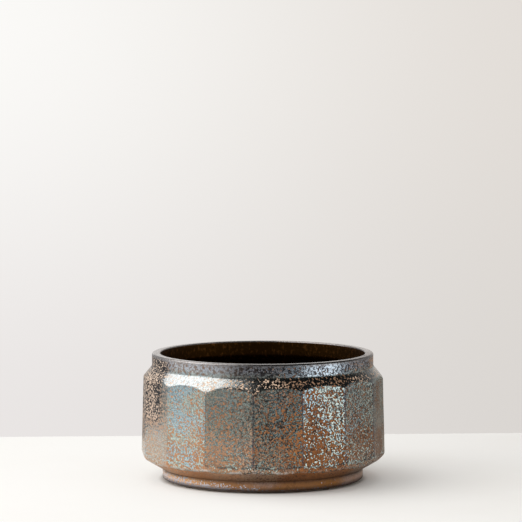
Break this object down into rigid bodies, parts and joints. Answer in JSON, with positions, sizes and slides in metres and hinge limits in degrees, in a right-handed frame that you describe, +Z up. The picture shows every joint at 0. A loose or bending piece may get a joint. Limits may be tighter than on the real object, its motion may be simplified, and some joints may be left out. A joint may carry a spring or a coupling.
{
  "type": "planter pot",
  "caption": "Low round planter pot of glazed stoneware: faceted wall, turned collar, sloping shoulder, trimmed foot, a rubber stopper that lifts out of its drain hole, and felt pads.",
  "frame": {"origin": "on the table surface, under the middle of the pot", "axes": "+Z up along the pot's turning axis; a corner between two flats lies on each of +X, -X, +Y and -Y"},
  "size_m": [0.2998, 0.2998, 0.1555],
  "materials": {
    "glaze": "gloss",
    "stopper_rubber": "matte",
    "pad_felt": "matte"
  },
  "bodies": {
    "pot": {"planter_body": "glaze", "base_pad_1": "pad_felt", "base_pad_2": "pad_felt", "base_pad_3": "pad_felt", "base_pad_4": "pad_felt"},
    "stopper": {"drain_stopper": "stopper_rubber"}
  },
  "joints": [
    {"name": "stopper_lift", "type": "slide", "parent": "pot", "child": "stopper", "axis": [0, 0, 1], "range_m": [0, 0.16]}
  ]
}
